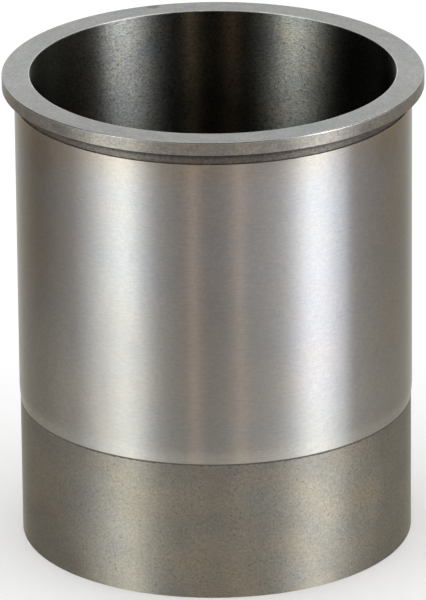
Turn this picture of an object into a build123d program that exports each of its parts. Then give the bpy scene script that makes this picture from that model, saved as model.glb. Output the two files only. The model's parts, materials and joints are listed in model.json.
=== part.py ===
from build123d import *
import os

# Flanged cylinder liner: one turned and ground iron tube that drops into a cylinder block.
# It stands on its lower end. The origin is the centre of that end, +Z runs up the bore axis,
# and every length is in millimetres.

# ---- Diameters, built outwards from the bore ----
bore_diameter = 100.0
skirt_wall = 4.0            # wall of the plain skirt below the ground barrel
barrel_step = 0.25          # the ground barrel stands this far outside the skirt
relief_depth = 0.5          # the relief groove is cut this far inside the barrel
flange_overhang = 3.35      # the flange reaches this far outside the barrel

# ---- Lengths along the axis, from the top down ----
flange_thickness = 3.6
relief_width = 3.7          # grinding relief between the flange's seat and the barrel
barrel_length = 86.4        # ground land, with its top edge break and its lead-in
skirt_length = 39.3

# ---- Edges ----
flange_edge_radius = 0.35   # rolled outer edge of the top face
seat_edge_break = 0.2       # outer edge of the flange's underside
seat_root_radius = 0.4      # root where the flange's underside meets the relief groove
barrel_edge_break = 0.2     # top edge of the barrel, above the ground land
lead_in_length = 2.8        # taper that starts the barrel into the block
skirt_foot_break = 0.3      # outer edge of the lower end
bore_top_break = 0.25       # edge of the bore in the top face
ring_lead_length = 2.5      # taper in the lower mouth of the bore that closes the piston rings
ring_lead_depth = 0.8


def liner_section():
    """Half section of the wall in the XZ plane, with X as the radius."""
    bore_r = bore_diameter / 2
    skirt_r = bore_r + skirt_wall
    barrel_r = skirt_r + barrel_step
    relief_r = barrel_r - relief_depth
    flange_r = barrel_r + flange_overhang

    skirt_top = skirt_length
    barrel_top = skirt_top + barrel_length
    seat = barrel_top + relief_width
    top = seat + flange_thickness

    with BuildSketch(Plane.XZ) as section:
        with BuildLine():
            # Bore, from its lower mouth to the top face.
            Polyline(
                (bore_r + ring_lead_depth, 0),
                (bore_r, ring_lead_length),
                (bore_r, top - bore_top_break),
                (bore_r + bore_top_break, top),
                (flange_r - flange_edge_radius, top),
            )
            # Flange: rolled upper edge, rim and broken lower edge.
            RadiusArc(
                (flange_r - flange_edge_radius, top),
                (flange_r, top - flange_edge_radius),
                flange_edge_radius,
            )
            Polyline(
                (flange_r, top - flange_edge_radius),
                (flange_r, seat + seat_edge_break),
                (flange_r - seat_edge_break, seat),
                (relief_r + seat_root_radius, seat),
            )
            # Relief groove, with a filleted root under the seat and a square floor at the barrel.
            RadiusArc(
                (relief_r + seat_root_radius, seat),
                (relief_r, seat - seat_root_radius),
                -seat_root_radius,
            )
            Polyline(
                (relief_r, seat - seat_root_radius),
                (relief_r, barrel_top),
                (barrel_r - barrel_edge_break, barrel_top),
                (barrel_r, barrel_top - barrel_edge_break),
                (barrel_r, skirt_top + lead_in_length),
                (skirt_r, skirt_top),
                (skirt_r, skirt_foot_break),
                (skirt_r - skirt_foot_break, 0),
                (bore_r + ring_lead_depth, 0),
            )
        make_face()
    return section.sketch


def make_liner():
    """The section turned once round the bore axis."""
    liner = revolve(liner_section(), Axis.Z)
    liner.label = "liner"
    return liner


def main():
    os.makedirs("parts", exist_ok=True)
    export_step(make_liner(), "parts/liner.step")


main()
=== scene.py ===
import json
import math

import bpy
from mathutils import Matrix, Vector


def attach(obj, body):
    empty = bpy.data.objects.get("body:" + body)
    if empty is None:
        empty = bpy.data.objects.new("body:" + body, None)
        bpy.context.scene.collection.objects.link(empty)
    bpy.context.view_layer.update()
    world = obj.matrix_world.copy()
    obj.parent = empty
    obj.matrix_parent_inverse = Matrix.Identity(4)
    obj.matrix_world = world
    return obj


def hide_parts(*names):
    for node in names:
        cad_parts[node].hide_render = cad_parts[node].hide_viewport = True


# A cylinder liner of bare turned iron, on a plain white sweep

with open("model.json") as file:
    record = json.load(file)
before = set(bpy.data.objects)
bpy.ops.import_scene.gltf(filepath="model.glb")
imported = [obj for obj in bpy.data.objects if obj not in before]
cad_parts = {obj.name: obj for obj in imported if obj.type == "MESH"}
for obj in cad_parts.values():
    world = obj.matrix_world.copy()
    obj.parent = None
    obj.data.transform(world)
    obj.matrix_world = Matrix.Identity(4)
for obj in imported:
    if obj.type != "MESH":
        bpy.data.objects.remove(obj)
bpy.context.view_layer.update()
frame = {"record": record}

MM = 0.001

# ----------------------------------------------------------------------
# Sizes of the liner, in metres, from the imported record
# ----------------------------------------------------------------------
mounts = {mount["name"]: mount for mount in frame["record"]["mounts"]}


def wall_of(name):
    """Radius, lower end and upper end of a round mount's wall."""
    mount = mounts[name]
    half = mount["dims"]["length_mm"] * MM / 2
    middle = mount["pos_m"][2]
    return mount["dims"]["r_mm"] * MM, middle - half, middle + half


BORE_R, BORE_LOW, BORE_HIGH = wall_of("cylinder_bore")
BARREL_R, BARREL_LOW, BARREL_HIGH = wall_of("block_fit")
RIM_R, RIM_LOW, RIM_HIGH = wall_of("flange_rim")
SKIRT_R, SKIRT_LOW, SKIRT_HIGH = wall_of("crankcase_spigot")
SEAT_Z = mounts["flange_seat"]["pos_m"][2]
TOP_Z = mounts["head_face"]["pos_m"][2]

# Sizes that no mount states
BARREL_BREAK = 0.2 * MM       # broken top edge of the barrel
RELIEF_DEPTH = 0.5 * MM       # the relief groove's floor lies this far inside the barrel
SEAT_ROOT = 0.4 * MM          # rounded root of the relief groove, under the seat
RING_LEAD_DEPTH = 0.8 * MM    # taper in the lower mouth of the bore
LEAD_BLEND = 0.8 * MM         # softened corner between the barrel and its lead-in taper

# Fineness of the lathed mesh
TURN_STEPS = 480              # faces round the axis
EDGE_STEPS = 4                # rows in each rounded edge
ROW_HEIGHT = 4.0 * MM         # rough height of a row on the straight stretches

# ----------------------------------------------------------------------
# Camera, at the photograph's viewing angle
# ----------------------------------------------------------------------
SENSOR_MM = 36.0
LENS_MM = 464.8
CAMERA_ELEVATION = math.radians(21.24)
CAMERA_ROLL = math.radians(0.535)
CAMERA_DISTANCE = 2.1335
AIM = Vector((-0.00056, 0.0, 0.0660))
CLIP_NEAR, CLIP_FAR = 0.1, 50.0


def add_object(name, data):
    """A new object in the scene."""
    thing = bpy.data.objects.new(name, data)
    bpy.context.scene.collection.objects.link(thing)
    return thing


def add_camera():
    """A long lens in front of the liner (-Y), looking down on it."""
    back = Vector((0.0, -math.cos(CAMERA_ELEVATION), math.sin(CAMERA_ELEVATION)))
    lens = bpy.data.cameras.new("camera")
    lens.sensor_width = SENSOR_MM
    lens.lens = LENS_MM
    lens.clip_start = CLIP_NEAR
    lens.clip_end = CLIP_FAR
    camera = add_object("camera", lens)
    camera.matrix_world = (
        Matrix.Translation(AIM + back * CAMERA_DISTANCE)
        @ (-back).to_track_quat("-Z", "Y").to_matrix().to_4x4()
        @ Matrix.Rotation(-CAMERA_ROLL, 4, "Z")
    )
    bpy.context.scene.camera = camera


# ----------------------------------------------------------------------
# Mesh: the half section, lathed round Z
# ----------------------------------------------------------------------
class Section:
    """A closed outline in (radius, height), built stretch by stretch with the metal on its right.

    Each row is (start, end, normal at start, normal at end, zone).
    """

    def __init__(self, start):
        self.at = Vector(start)
        self.rows = []

    def line(self, end, zone):
        """A straight stretch to end, cut into rows of about ROW_HEIGHT."""
        start, end = self.at, Vector(end)
        normal = out_of_metal(end - start)
        steps = max(1, round((end - start).length / ROW_HEIGHT))
        for i in range(steps):
            a, b = start.lerp(end, i / steps), start.lerp(end, (i + 1) / steps)
            self.rows.append((a, b, normal, normal, zone))
        self.at = end

    def bend(self, corner, end, zone):
        """A smooth curve to end, leaving and arriving along the lines through corner."""
        start, corner, end = self.at, Vector(corner), Vector(end)
        for i in range(EDGE_STEPS):
            points, normals = [], []
            for t in (i / EDGE_STEPS, (i + 1) / EDGE_STEPS):
                first, last = start.lerp(corner, t), corner.lerp(end, t)
                points.append(first.lerp(last, t))
                normals.append(out_of_metal(last - first))
            self.rows.append((*points, *normals, zone))
        self.at = end


def out_of_metal(way):
    """The normal on the left of a stretch that runs along way."""
    return Vector((-way.y, way.x)).normalized()


def liner_section():
    """The wall's outline: up the bore, out over the flange, down the outside and in along the foot."""
    mouth = (BORE_R + RING_LEAD_DEPTH, 0.0)
    top_break = TOP_Z - BORE_HIGH
    rim_round = TOP_Z - RIM_HIGH
    seat_break = RIM_LOW - SEAT_Z
    relief_r = BARREL_R - RELIEF_DEPTH
    shoulder = BARREL_HIGH + BARREL_BREAK
    lead_slope = (BARREL_R - SKIRT_R) / (BARREL_LOW - SKIRT_HIGH)

    section = Section(mouth)
    section.line((BORE_R, BORE_LOW), "bore")
    section.line((BORE_R, BORE_HIGH), "bore")
    section.bend((BORE_R, TOP_Z), (BORE_R + top_break, TOP_Z), "lip")
    section.line((RIM_R - rim_round, TOP_Z), "face")
    section.bend((RIM_R, TOP_Z), (RIM_R, RIM_HIGH), "edge")
    section.line((RIM_R, RIM_LOW), "rim")
    section.bend((RIM_R, SEAT_Z), (RIM_R - seat_break, SEAT_Z), "rim")
    section.line((relief_r + SEAT_ROOT, SEAT_Z), "relief")
    section.bend((relief_r, SEAT_Z), (relief_r, SEAT_Z - SEAT_ROOT), "relief")
    section.line((relief_r, shoulder), "relief")
    section.bend((BARREL_R, shoulder), (BARREL_R, BARREL_HIGH), "edge")
    section.line((BARREL_R, BARREL_LOW + LEAD_BLEND), "barrel")
    section.bend(
        (BARREL_R, BARREL_LOW),
        (BARREL_R - LEAD_BLEND * lead_slope, BARREL_LOW - LEAD_BLEND), "barrel")
    section.line((SKIRT_R, SKIRT_HIGH), "barrel")
    section.line((SKIRT_R, SKIRT_LOW), "skirt")
    section.bend((SKIRT_R, 0.0), (SKIRT_R - SKIRT_LOW, 0.0), "skirt")
    section.line(mouth, "skirt")
    return section.rows


def circle(steps):
    """Cosine and sine of each step round a full turn."""
    turns = [2 * math.pi * k / steps for k in range(steps)]
    return [(math.cos(t), math.sin(t)) for t in turns]


def lathe(name, rows, zones):
    """One closed mesh of the rows turned round Z, with exact normals and a material index per zone."""
    spokes = circle(TURN_STEPS)
    vertices = [(start.x * c, start.x * s, start.y) for start, *_ in rows for c, s in spokes]
    faces, normals, slots = [], [], []
    for i, (_, _, start_normal, end_normal, zone) in enumerate(rows):
        here, there = i * TURN_STEPS, ((i + 1) % len(rows)) * TURN_STEPS
        for k in range(TURN_STEPS):
            n = (k + 1) % TURN_STEPS
            faces.append((here + k, there + k, there + n, here + n))
            slots.append(zones.index(zone))
            for normal, spoke in ((start_normal, k), (end_normal, k), (end_normal, n), (start_normal, n)):
                c, s = spokes[spoke]
                normals.append((normal.x * c, normal.x * s, normal.y))
    mesh = bpy.data.meshes.new(name)
    mesh.from_pydata(vertices, [], faces)
    mesh.polygons.foreach_set("material_index", slots)
    mesh.polygons.foreach_set("use_smooth", [True] * len(faces))
    mesh.normals_split_custom_set(normals)
    mesh.update()
    return add_object(name, mesh)


# ----------------------------------------------------------------------
# Node trees
# ----------------------------------------------------------------------
PLAIN = (1.0, 1.0, 1.0)       # a colour factor that changes nothing
NOISE_SPAN = (0.35, 0.65)     # the levels between which most of the noise lies
RED_SHARE = 0.8               # red changes by this share of what blue changes, the other way


class Graph:
    """Short calls for writing a node tree."""

    def __init__(self, tree):
        self.tree = tree
        tree.nodes.clear()

    def node(self, kind, settings=None, **inputs):
        """A new node. Each input is a value or another node's output; _ stands for a space."""
        node = self.tree.nodes.new(kind)
        for key, value in (settings or {}).items():
            setattr(node, key, value)
        for key, value in inputs.items():
            self.feed(node.inputs[key.replace("_", " ")], value)
        return node

    def feed(self, socket, value):
        """Leads another node's output, or a plain value, into a socket."""
        if isinstance(value, bpy.types.NodeSocket):
            self.tree.links.new(value, socket)
        else:
            socket.default_value = value

    def math(self, operation, *numbers):
        """One step of arithmetic."""
        node = self.node("ShaderNodeMath", {"operation": operation})
        for socket, number in zip(node.inputs, numbers):
            self.feed(socket, number)
        return node.outputs[0]

    def product(self, value, *factors):
        """The value times all the factors."""
        for factor in factors:
            value = self.math("MULTIPLY", value, factor)
        return value

    def remap(self, value, low, high, to_low=0.0, to_high=1.0, smooth=False):
        """The value's span from low to high, moved to the span from to_low to to_high."""
        kind = "SMOOTHSTEP" if smooth else "LINEAR"
        node = self.node("ShaderNodeMapRange", {"interpolation_type": kind})
        for socket, number in zip(node.inputs, (value, low, high, to_low, to_high)):
            self.feed(socket, number)
        return node.outputs[0]

    def soft_step(self, value, at, softness, before=0.0, after=1.0):
        """A change from before to after, spread over softness on each side of at."""
        return self.remap(value, at - softness, at + softness, before, after, smooth=True)

    def vector(self, operation, a, b=(0.0, 0.0, 0.0), scale=1.0):
        """One step of vector arithmetic. Only the operation SCALE takes scale, and it leaves b alone."""
        node = self.node("ShaderNodeVectorMath", {"operation": operation})
        self.feed(node.inputs[0], a)
        self.feed(node.inputs[1], b)
        self.feed(node.inputs[3], scale)
        return node.outputs["Value" if operation in ("LENGTH", "DOT_PRODUCT") else "Vector"]

    def times(self, a, b):
        """Two colours multiplied, channel by channel."""
        return self.vector("MULTIPLY", a, b)

    def mix(self, factor, a, b):
        """Colour a, replaced by colour b as far as factor says."""
        node = self.node("ShaderNodeMix", {"data_type": "RGBA"})
        self.feed(node.inputs[0], factor)
        # A, B and Result are there once for each data type, and these are the colour's
        self.feed(node.inputs[6], a)
        self.feed(node.inputs[7], b)
        return node.outputs[2]

    def ramp(self, value, stops):
        """A colour factor that runs straight between stops, each (value, (red, green, blue))."""
        low, high = stops[0][0], stops[-1][0]
        node = self.node("ShaderNodeValToRGB", Fac=self.remap(value, low, high))
        elements = node.color_ramp.elements
        while len(elements) < len(stops):
            elements.new(0.5)
        for element, (at, colour) in zip(elements, stops):
            element.position = (at - low) / (high - low)
            element.color = (*colour, 1.0)
        return node.outputs["Color"]

    def noise(self, vector, detail, roughness):
        """Scalar and coloured noise whose grains are about one unit of the vector across."""
        node = self.node(
            "ShaderNodeTexNoise", Vector=vector, Scale=1.0, Detail=detail, Roughness=roughness)
        return node.outputs["Fac"], node.outputs["Color"]

    def swing(self, noise, depth):
        """Noise turned into a factor of 1 give or take depth."""
        return self.remap(noise, *NOISE_SPAN, 1.0 - depth, 1.0 + depth)

    def warm_or_cool(self, noise, depth):
        """Coloured noise turned into a colour factor that leans warm here and cool there."""
        lean = self.vector("DOT_PRODUCT", noise, (1.0, -1.0, 0.0))
        change = self.vector("SCALE", (RED_SHARE * depth, 0.0, -depth), scale=lean)
        return self.vector("ADD", PLAIN, change)


def shade(value):
    """A grey as a colour with alpha."""
    return (value, value, value, 1.0)


def new_material(name):
    """A material, and the graph to write it in."""
    material = bpy.data.materials.new(name)
    material.use_nodes = True
    return material, Graph(material.node_tree)


# ----------------------------------------------------------------------
# Light
# ----------------------------------------------------------------------
# Soft light by direction, as the liner sees it. Azimuth 0 is the camera's side and 90 the right, and
# elevation 0 is the horizon, all in degrees. The outer wall mirrors the lower tier, because the camera
# looks down on it. The upper tier lights the bore, and through the brushed finish the wall as well.
LOWER = (-95.0, 0.0)          # past straight down, so that nothing sees its soft lower edge
UPPER = (0.0, 60.0)
TIER_SOFTNESS = 4.0

# Each row: name, the azimuths where the light begins and ends, each with its softness, tier, colour
# and strength.
STUDIO_LIGHT = [
    ("left box", (-64.5, 19.0), (-46.7, 9.0), UPPER, (0.98, 1.0, 0.95), 4.8),
    ("left card", (-85.0, 2.0), (-37.0, 2.0), LOWER, (0.87, 1.0, 1.19), 0.30),
    ("left spill", (-95.0, 32.0), (-33.0, 40.0), LOWER, (1.03, 1.0, 1.03), 0.57),
    ("right box", (50.5, 10.0), (71.8, 5.0), UPPER, (0.97, 1.0, 1.03), 4.75),
    ("right card", (74.0, 4.0), (82.0, 2.0), LOWER, (0.93, 1.0, 1.15), 1.45),
    ("right spill", (7.0, 50.0), (96.0, 40.0), LOWER, (1.0, 1.0, 1.1), 0.56),
    ("right side", (57.0, 31.0), (105.0, 25.0), UPPER, (1.11, 1.0, 0.8), 0.12),
    ("rear", (120.0, 28.0), (226.0, 12.0), LOWER, (1.1, 1.0, 0.9), 0.14),
    ("rear right", (112.0, 10.0), (152.0, 10.0), UPPER, (0.93, 1.0, 0.84), 0.10),
    ("slim strip, left", (-14.0, 1.0), (-11.0, 1.0), LOWER, (1.5, 1.0, 0.8), 0.45),
    ("slim strip, right", (13.0, 1.0), (16.0, 1.0), LOWER, (1.6, 1.0, 0.7), 0.25),
    ("strip's top, left", (-14.0, 1.0), (-11.0, 1.0), UPPER, (1.45, 1.0, 0.6), 0.48),
    ("strip's top, right", (13.0, 1.0), (16.0, 1.0), UPPER, (1.3, 1.0, 0.67), 0.90),
    ("sweep", (161.0, 11.0), (199.0, 11.0), UPPER, (0.98, 1.0, 1.0), 1.11),
    ("sweep's foot", (152.0, 8.0), (208.0, 8.0), LOWER, (0.88, 1.0, 1.01), 0.45),
    ("table", (-400.0, 1.0), (400.0, 1.0), LOWER, (1.18, 1.0, 0.8), 0.22),
]
SWEEP_WHITE = 1.18            # strength of the plain white that the camera sees
SECOND_BOUNCE = 0.12          # share of the light that is left once a ray was mirrored twice
TWO_BOUNCES = 1.5             # a ray's Glossy Depth is above this once it was mirrored twice


def box_window(g, azimuth, elevation, begin, end, tier):
    """How much of a box's light comes from a direction, from 0 to 1."""
    first, first_softness = begin
    last, last_softness = end
    lowest, highest = tier
    half = (last - first) / 2
    turned = g.math("WRAP", g.math("SUBTRACT", azimuth, first + half), 180.0, -180.0)
    return g.product(
        g.soft_step(turned, -half, first_softness),
        g.soft_step(turned, half, last_softness, 1.0, 0.0),
        g.soft_step(elevation, lowest, TIER_SOFTNESS),
        g.soft_step(elevation, highest, TIER_SOFTNESS, 1.0, 0.0))


def add_studio():
    """A plain white sweep for the camera and matt surfaces, and soft boxes for what metal mirrors."""
    world = bpy.data.worlds.new("studio")
    bpy.context.scene.world = world
    world.use_nodes = True
    g = Graph(world.node_tree)
    way = g.node("ShaderNodeTexCoord").outputs["Generated"]
    x, y, z = g.node("ShaderNodeSeparateXYZ", Vector=way).outputs
    azimuth = g.math("DEGREES", g.math("ARCTAN2", x, g.math("MULTIPLY", y, -1.0)))
    elevation = g.math("DEGREES", g.math("ARCSINE", z))
    light = (0.0, 0.0, 0.0)
    for _, begin, end, tier, colour, strength in STUDIO_LIGHT:
        window = box_window(g, azimuth, elevation, begin, end, tier)
        glow = g.vector("SCALE", colour, scale=g.product(window, strength))
        light = g.vector("ADD", light, glow)

    ray = g.node("ShaderNodeLightPath").outputs
    mirrored_again = g.math("GREATER_THAN", ray["Glossy Depth"], TWO_BOUNCES)
    left_over = g.remap(mirrored_again, 0.0, 1.0, 1.0, SECOND_BOUNCE)
    boxes = g.node("ShaderNodeBackground", Color=light, Strength=left_over)
    sweep = g.node("ShaderNodeBackground", Color=shade(SWEEP_WHITE), Strength=1.0)
    plain_ray = g.math("MAXIMUM", ray["Is Camera Ray"], ray["Is Diffuse Ray"])
    both = g.node("ShaderNodeMixShader", Fac=plain_ray)
    g.feed(both.inputs[1], boxes.outputs[0])
    g.feed(both.inputs[2], sweep.outputs[0])
    g.node("ShaderNodeOutputWorld", Surface=both.outputs[0])
    # Samples aimed at the world as at a lamp know no kind of ray, so there are none
    world.cycles.sampling_method = "NONE"


# ----------------------------------------------------------------------
# Iron
# ----------------------------------------------------------------------
PIT_EDGE = 0.08               # a pit is at its darkest this far above the level where it opens
FRAY_SIZE = (1.2, 3.0)        # length and height of the fraying of the bands, in millimetres
FRAY_SPAN = (0.25, 0.75)      # the noise levels that move a band furthest, one way and the other
SPOT_CORE = 0.5               # a spot fades from this share of its size outwards
SPOT_GRAIN = (0.0, 0.95)      # the grain levels that let none and all of a spot through
GRAIN_BUMP = 0.5              # the grain's height as a share of the marks'
ALONG_THE_TURNING = 0.25      # a quarter turn, which lays the brushing round the axis


class Place:
    """Where a point of the iron lies, in millimetres, as outputs of a graph's nodes."""

    def __init__(self, g, flat):
        self.g = g
        here = g.node("ShaderNodeTexCoord").outputs["Object"]
        self.point = g.vector("SCALE", here, scale=1.0 / MM)
        self.x, self.y, height = g.node("ShaderNodeSeparateXYZ", Vector=self.point).outputs
        self.across = self.radius() if flat else height

    def radius(self):
        """The distance from the liner's axis."""
        g = self.g
        return g.math("SQRT", g.math("ADD", g.product(self.x, self.x), g.product(self.y, self.y)))

    def turned(self, length, height):
        """Coordinates in which a grain is length round the axis and height across."""
        g = self.g
        return g.node(
            "ShaderNodeCombineXYZ", X=g.math("DIVIDE", self.x, length),
            Y=g.math("DIVIDE", self.y, length), Z=g.math("DIVIDE", self.across, height)).outputs[0]

    def even(self, size):
        """Coordinates in which a grain has the same size in every direction."""
        return self.g.vector("SCALE", self.point, scale=1.0 / size)


def pitted(g, place, size, level, depth):
    """A factor of 1 that drops by depth where a pit opens, above that level of the noise."""
    holes, _ = g.noise(place.even(size), detail=1.0, roughness=0.5)
    return g.remap(holes, level, level + PIT_EDGE, 1.0, 1.0 - depth)


def frayed(g, place, reach):
    """The place across the tool marks, moved by up to reach so that the bands are ragged."""
    fray, _ = g.noise(place.turned(*FRAY_SIZE), detail=2.0, roughness=0.6)
    return g.math("ADD", place.across, g.remap(fray, *FRAY_SPAN, -reach, reach))


def stains_and_painted_light(g, place, colour, grain, spots):
    """The colour with its single spots, stains and painted light and shade alike, which the grain breaks
    up.
    """
    let_through = g.remap(grain, *SPOT_GRAIN)
    for centre, size, spot_factor in spots:
        off = g.vector("DIVIDE", g.vector("SUBTRACT", place.point, centre), size)
        near = g.remap(g.vector("LENGTH", off), SPOT_CORE, 1.0, 1.0, 0.0, smooth=True)
        # Some spots are real stains, the others painted light and painted shade on the reflections
        colour = g.mix(g.product(near, let_through), colour, g.times(colour, spot_factor))
    return colour


def finish_of(g, look, height):
    """Roughness and shine: two numbers, or two outputs where they change with height."""
    if "finish" not in look:
        return look["roughness"], look["shine"]
    stops = [(at, (roughness, shine, 0.0)) for at, roughness, shine in look["finish"]]
    return g.node("ShaderNodeSeparateColor", Color=g.ramp(height, stops)).outputs[:2]


def iron(name, look, flat):
    """Bare iron as described by a row of LOOKS. A flat face lies square to the axis."""
    material, g = new_material(name)
    place = Place(g, flat)
    mark_length, mark_height, mark_depth = look["marks"]
    marks, _ = g.noise(place.turned(mark_length, mark_height), detail=3.0, roughness=0.6)
    grain_size, grain_depth = look["grain"]
    grain, motes = g.noise(place.even(grain_size), detail=3.0, roughness=0.6)
    cloud_length, cloud_height, cloud_depth, cloud_tint = look["clouds"]
    cloud, hues = g.noise(place.turned(cloud_length, cloud_height), detail=3.0, roughness=0.5)

    tone = g.product(
        g.swing(marks, mark_depth), g.swing(grain, grain_depth), g.swing(cloud, cloud_depth),
        pitted(g, place, *look["pits"]))
    tint = g.times(g.warm_or_cool(hues, cloud_tint), g.warm_or_cool(motes, look["motes"]))
    colour = g.vector("SCALE", g.times(tint, look["colour"]), scale=tone)
    height = frayed(g, place, look["fray"]) if "fray" in look else place.across
    if "bands" in look:
        colour = g.times(colour, g.ramp(height, look["bands"]))
    colour = stains_and_painted_light(g, place, colour, grain, look["spots"])

    roughness, shine = finish_of(g, look, height)
    relief = g.math("ADD", marks, g.product(grain, GRAIN_BUMP))
    bump = g.node("ShaderNodeBump", Strength=1.0, Distance=look["bump"] * MM, Height=relief)
    tangent = g.node("ShaderNodeTangent", {"direction_type": "RADIAL", "axis": "Z"})
    skin = g.node(
        "ShaderNodeBsdfPrincipled", Base_Color=colour, Metallic=shine, Roughness=roughness,
        Anisotropic=look["anisotropy"], Anisotropic_Rotation=ALONG_THE_TURNING,
        Tangent=tangent.outputs[0], Normal=bump.outputs[0])
    g.node("ShaderNodeOutputMaterial", Surface=skin.outputs[0])
    return material
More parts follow.
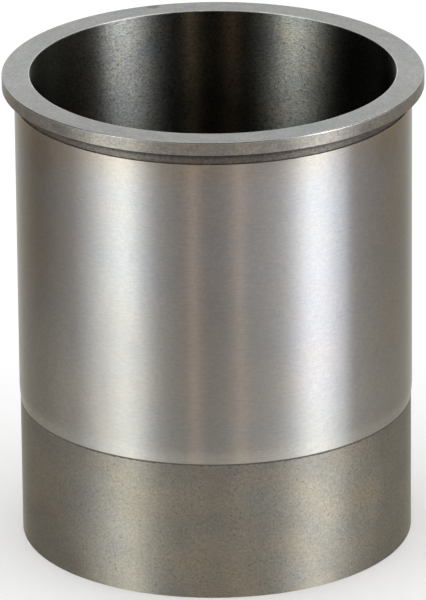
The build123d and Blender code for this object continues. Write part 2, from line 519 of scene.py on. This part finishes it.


# How each worked face looks. Lengths are in millimetres; depths are shares of the tone.
#   shine   share of the light that is mirrored as by bare metal; the rest is scattered
#   marks   length and height of the tool marks round the axis, and their depth
#   grain   size and depth of the metal's grain; motes is how much colour it carries
#   clouds  length, height, depth and tint of the broad patches
#   pits    size of the pits, the noise level above which one opens, and how dark it is
#   bump    height of the marks
#   bands   colour factor by height, where it changes; fray is how ragged the bands are
#   finish  roughness and shine by height, where they change
#   spots   single stains and patches of painted light and shade: centre, half sizes and colour factor, of which the grain lets half through
# First come the heights of the edges that the looks follow.
top, seat, groove_foot = TOP_Z / MM, SEAT_Z / MM, BARREL_HIGH / MM
lead_top, step = BARREL_LOW / MM, SKIRT_HIGH / MM
LOOKS = {
    # The honed bore, with painted shade that darkens it further down, most of all low on the far wall
    "bore": dict(
        colour=(0.408, 0.403, 0.375), roughness=0.40, shine=1.0, anisotropy=1.0,
        marks=(1.0, 0.38, 0.26), grain=(0.7, 0.26), motes=0.38, clouds=(9.0, 7.0, 0.07, 0.20),
        pits=(0.7, 0.61, 0.6), bump=0.006,
        bands=[
            (top - 48.0, (0.72, 0.72, 0.71)), (top - 11.0, PLAIN), (top - 2.0, (1.06, 1.06, 1.05)),
        ],
        # Painted shade low on the far wall
        spots=[((0.0, 50.0, top - 43.0), (34.0, 20.0, 28.0), (0.40, 0.40, 0.38))]),
    # The turned top face, with a rusty mark at the rear
    "face": dict(
        colour=(0.392, 0.393, 0.381), roughness=0.50, shine=0.7, anisotropy=0.6,
        marks=(2.0, 0.40, 0.03), grain=(0.6, 0.15), motes=0.30, clouds=(6.0, 4.0, 0.06, 0.11),
        pits=(0.5, 0.75, 0.2), bump=0.003,
        spots=[((-16.6, 54.0, top), (2.4, 2.4, 1.0), (0.30, 0.12, 0.0))]),
    # The broken edge between the bore and the top face
    "lip": dict(
        colour=(0.74, 0.73, 0.70), roughness=0.34, shine=0.82, anisotropy=0.0,
        marks=(0.8, 0.40, 0.12), grain=(0.5, 0.08), motes=0.10, clouds=(9.0, 9.0, 0.10, 0.05),
        pits=(0.5, 0.75, 0.3), bump=0.006, spots=[]),
    # The flange's rounded upper edge and the barrel's broken top edge; the flange edge has a painted
    # highlight at the right front and painted shade at the left front
    "edge": dict(
        colour=(0.40, 0.39, 0.38), roughness=0.26, shine=0.82, anisotropy=0.0,
        marks=(0.8, 0.40, 0.12), grain=(0.5, 0.08), motes=0.10, clouds=(9.0, 9.0, 0.10, 0.05),
        pits=(0.5, 0.75, 0.3), bump=0.006,
        spots=[
            # Painted highlight at the right front, painted shade at the left front
            ((38.0, -43.0, top - 0.5), (20.0, 18.0, 6.0), (2.3, 2.3, 2.3)),
            ((-40.0, -40.0, top - 0.5), (22.0, 22.0, 6.0), (0.6, 0.6, 0.6)),
        ]),
    # The flange's turned rim
    "rim": dict(
        colour=(0.389, 0.367, 0.326), roughness=0.44, shine=0.80, anisotropy=1.0,
        marks=(1.4, 0.5, 0.07), grain=(0.6, 0.18), motes=0.32, clouds=(5.0, 4.0, 0.07, 0.12),
        pits=(0.5, 0.70, 0.4), bump=0.004,
        spots=[
            ((-41.0, -40.5, top - 1.8), (4.5, 4.5, 2.0), (0.62, 0.64, 0.70)),
            ((-32.0, -48.0, top - 2.0), (4.0, 3.0, 3.0), (1.20, 1.20, 1.18)),
        ]),
    # The flange's seat and the dark relief groove under it, with the flange's shadow painted on in bands,
    # darkest under the seat
    "relief": dict(
        colour=(0.229, 0.213, 0.186), roughness=0.50, shine=0.80, anisotropy=0.9,
        marks=(1.2, 0.45, 0.14), grain=(0.7, 0.18), motes=0.16, clouds=(12.0, 9.0, 0.06, 0.08),
        pits=(0.55, 0.66, 0.5), bump=0.006, fray=0.2,
        # The bands paint the flange's shadow on the groove, darkest and bluish right under the seat
        bands=[
            (groove_foot, (1.22, 1.17, 1.12)), (seat - 2.5, (0.98, 0.96, 0.95)),
            (seat - 1.9, (0.50, 0.52, 0.58)), (seat, (0.30, 0.32, 0.38)),
        ],
        spots=[]),
    # The ground barrel and its lead-in taper, with two warm, darker patches high up and painted light and
    # shade on its reflections
    "barrel": dict(
        colour=(0.561, 0.56, 0.545), anisotropy=1.0,
        marks=(2.2, 0.38, 0.06), grain=(0.7, 0.05), motes=0.18, clouds=(20.0, 16.0, 0.02, 0.13),
        pits=(0.5, 0.76, 0.15), bump=0.002, fray=0.3,
        bands=[
            (step, (1.07, 1.06, 0.99)), (lead_top - 0.5, (1.05, 1.04, 0.98)),
            (lead_top + 2.0, (0.96, 0.95, 0.91)), (lead_top + 50.0, PLAIN),
            (groove_foot - 9.0, (1.0, 1.0, 1.02)), (groove_foot, (1.06, 0.99, 0.88)),
        ],
        finish=[
            (step, 0.39, 0.86), (lead_top - 0.5, 0.39, 0.86), (lead_top + 2.0, 0.38, 0.90),
            (lead_top + 50.0, 0.37, 0.99), (groove_foot, 0.37, 1.0),
        ],
        spots=[
            ((-47.0, -27.0, groove_foot - 7.0), (9.0, 9.0, 7.0), (0.92, 0.88, 0.78)),
            ((47.0, -27.0, groove_foot - 5.5), (8.0, 8.0, 6.0), (0.88, 0.86, 0.78)),
            # Painted light low on the left flank, painted shade in the middle front and on the left
            # highlight, and a painted bluish tint in the right highlight
            ((-45.0, -30.0, 56.0), (12.0, 14.0, 30.0), (1.16, 1.16, 1.14)),
            ((2.0, -54.0, 62.0), (22.0, 10.0, 32.0), (0.89, 0.89, 0.87)),
            ((-26.0, -47.0, 62.0), (8.0, 9.0, 32.0), (0.84, 0.84, 0.85)),
            ((29.0, -46.0, 74.0), (14.0, 12.0, 30.0), (1.0, 0.99, 1.09)),
        ]),
    # The dull skirt, with the step's shade painted as a dark line under it, one dark speck and a painted
    # highlight on the right front
    "skirt": dict(
        colour=(0.422, 0.395, 0.330), anisotropy=1.0,
        marks=(1.6, 0.55, 0.05), grain=(0.6, 0.12), motes=0.30, clouds=(12.0, 8.0, 0.05, 0.15),
        pits=(0.5, 0.66, 0.5), bump=0.004, fray=0.2,
        bands=[
            (0.0, PLAIN), (step - 9.0, PLAIN), (step - 0.6, (0.94, 0.94, 0.96)),
            # Painted shade of the step: a dark line just under it
            (step - 0.46, (0.25, 0.235, 0.235)), (step, (0.21, 0.20, 0.20)),
        ],
        finish=[
            (0.0, 0.53, 0.79), (step - 0.6, 0.53, 0.79), (step - 0.46, 0.46, 0.2), (step, 0.46, 0.1),
        ],
        spots=[
            ((3.6, -53.85, step - 1.1), (0.5, 0.5, 0.4), (0.4, 0.38, 0.36)),
            ((-33.0, -42.0, 18.0), (14.0, 14.0, 18.0), (0.99, 1.05, 1.17)),
            ((-47.0, -27.0, 22.0), (8.0, 11.0, 16.0), (1.05, 0.98, 0.93)),
            ((2.0, -54.0, 8.0), (18.0, 8.0, 12.0), (1.06, 1.0, 0.93)),
            ((14.0, -52.0, 28.0), (8.0, 6.0, 8.0), (0.92, 0.98, 1.04)),
            # Painted highlight on the right front
            ((38.0, -38.0, 22.0), (14.0, 14.0, 26.0), (1.34, 1.34, 1.33)),
            ((-47.0, -27.0, 4.0), (20.0, 22.0, 20.0), (0.84, 0.84, 0.84)),
        ]),
}


# ----------------------------------------------------------------------
# Floor
# ----------------------------------------------------------------------
FLOOR_REACH = 8.0             # from the middle to each side
FLOOR_TONE = 0.92
DISC_STEPS = 96


def matt(name, tone):
    """A plain matt grey."""
    material, g = new_material(name)
    skin = g.node("ShaderNodeBsdfDiffuse", Color=shade(tone))
    g.node("ShaderNodeOutputMaterial", Surface=skin.outputs[0])
    return material


def flat_piece(name, outline, material):
    """A flat piece of the stage on the ground, with the outline's corners."""
    mesh = bpy.data.meshes.new(name)
    mesh.from_pydata([(x, y, 0.0) for x, y in outline], [], [tuple(range(len(outline)))])
    mesh.materials.append(material)
    piece = add_object(name, mesh)
    return piece


def add_floor():
    """A pale floor that stays out of the metal's reflections, which see instead a black disc under the
    bore, a painted shade for the inside of the bore.
    """
    corners = [(-1, -1), (1, -1), (1, 1), (-1, 1)]
    floor = flat_piece(
        "floor", [(FLOOR_REACH * x, FLOOR_REACH * y) for x, y in corners], matt("floor", FLOOR_TONE))
    floor.visible_glossy = False
    floor.visible_shadow = False
    disc_r = (BORE_R + SKIRT_R) / 2
    disc = flat_piece(
        "dark_under_bore", [(disc_r * c, disc_r * s) for c, s in circle(DISC_STEPS)],
        matt("dark", 0.0))
    disc.visible_camera = False
    disc.visible_diffuse = False
    disc.visible_shadow = False


# ----------------------------------------------------------------------
# The scene
# ----------------------------------------------------------------------
add_camera()
add_studio()
add_floor()

liner = lathe("liner_turned", liner_section(), list(LOOKS))
for zone, look in LOOKS.items():
    liner.data.materials.append(iron("iron_" + zone, look, flat=zone == "face"))
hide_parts("liner")
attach(liner, "root")

bpy.context.scene.view_settings.view_transform = "Standard"
